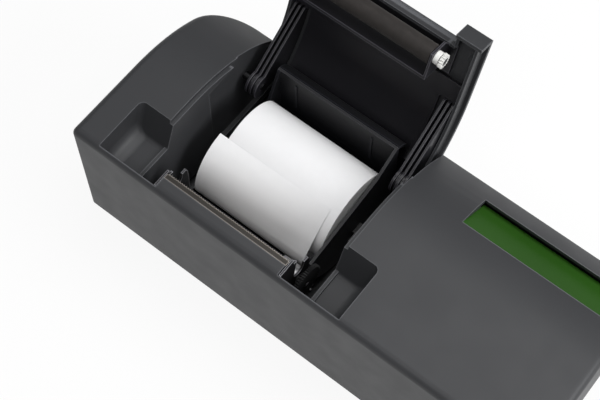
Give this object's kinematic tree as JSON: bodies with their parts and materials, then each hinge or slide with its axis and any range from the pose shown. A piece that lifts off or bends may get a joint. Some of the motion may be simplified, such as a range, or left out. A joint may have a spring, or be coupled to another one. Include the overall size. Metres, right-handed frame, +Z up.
{
  "type": "receipt printer",
  "caption": "Dark grey drop-in receipt printer with its lid standing open over a paper roll, a tear bar, finger recesses beside the well and a sunk line display.",
  "frame": {"origin": "on the table, at the middle of the footprint with the lid open", "axes": "+X along the tear bar towards the line display, +Y to the rear, +Z up"},
  "size_m": [0.308, 0.1651, 0.1447],
  "materials": {
    "casing_grey": "fine moulded texture, dark grey",
    "lid_black": "smooth satin black",
    "inner_black": "smooth black moulding",
    "steel": "plated sheet steel",
    "black_steel": "blackened steel",
    "blade_steel": "hardened spring steel, brownish",
    "aluminium": "extruded, plain",
    "ceramic": "glazed ceramic",
    "gear_black": "moulded acetal, black",
    "bushing_white": "moulded acetal",
    "rubber_black": "matte rubber",
    "platen_rubber": "ground rubber, brownish black",
    "paper_white": "uncoated to satin thermal paper",
    "core_card": "wound cardboard",
    "board_green": "solder mask",
    "lens_green": "tinted filter, smooth"
  },
  "bodies": {
    "housing": {"top_housing": "casing_grey", "base_plate": "casing_grey", "rubber_feet": "rubber_black", "housing_screws": "steel", "hinge_pins": "black_steel", "paper_bucket": "inner_black", "mech_frame": "steel", "frame_screws": "steel", "tear_bar": "blade_steel", "head_springs": "steel", "stepper_motor": "steel", "gear_axle": "black_steel", "display_lens": "lens_green", "display_module": "inner_black", "main_board": "board_green", "board_screws": "steel", "power_socket": "inner_black", "data_socket": "steel", "paper_sensor": "inner_black", "cover_switch": "inner_black", "paper_tail": "paper_white"},
    "lid": {"lid_shell": "casing_grey", "lid_liner": "lid_black", "platen_holder": "lid_black", "lid_screws": "steel", "hinge_arm_left": "lid_black", "hinge_arm_right": "lid_black", "platen_bushings": "bushing_white"},
    "platen": {"platen_shaft": "steel", "platen_roller": "platen_rubber", "platen_gear": "bushing_white"},
    "paper": {"paper_roll": "paper_white", "paper_core": "core_card"},
    "gear": {"reduction_gear": "gear_black"},
    "rotor": {"motor_shaft": "steel", "motor_pinion": "gear_black"},
    "head": {"head_heatsink": "aluminium", "head_substrate": "ceramic", "head_pivot_shaft": "steel"}
  },
  "joints": [
    {"name": "lid_hinge", "type": "hinge", "parent": "housing", "child": "lid", "pos_m": [-0.051, 0.02092, 0.0577], "axis": [1, 0, 0], "range_deg": [0, 106]},
    {"name": "platen_spin", "type": "hinge", "parent": "lid", "child": "platen", "pos_m": [-0.051, 0.05857, 0.13533], "axis": [1, 0, 0], "continuous": true},
    {"name": "roll_spin", "type": "hinge", "parent": "housing", "child": "paper", "pos_m": [-0.051, -0.00808, 0.04], "axis": [1, 0, 0], "continuous": true},
    {"name": "gear_spin", "type": "hinge", "parent": "housing", "child": "gear", "pos_m": [-0.0028, -0.06549, 0.06444], "axis": [1, 0, 0], "continuous": true},
    {"name": "motor_spin", "type": "hinge", "parent": "housing", "child": "rotor", "pos_m": [-0.0028, -0.06156, 0.04978], "axis": [1, 0, 0], "continuous": true},
    {"name": "head_pivot", "type": "hinge", "parent": "housing", "child": "head", "pos_m": [-0.051, -0.07318, 0.0555], "axis": [1, 0, 0], "range_deg": [0, 2.5], "stiffness_Nm_per_rad": 0.6, "springref_deg": -8.59, "deforming": ["head_springs"]}
  ],
  "couplings": [
    {"joint": "motor_spin", "follows": "gear_spin", "ratio": -4}
  ]
}
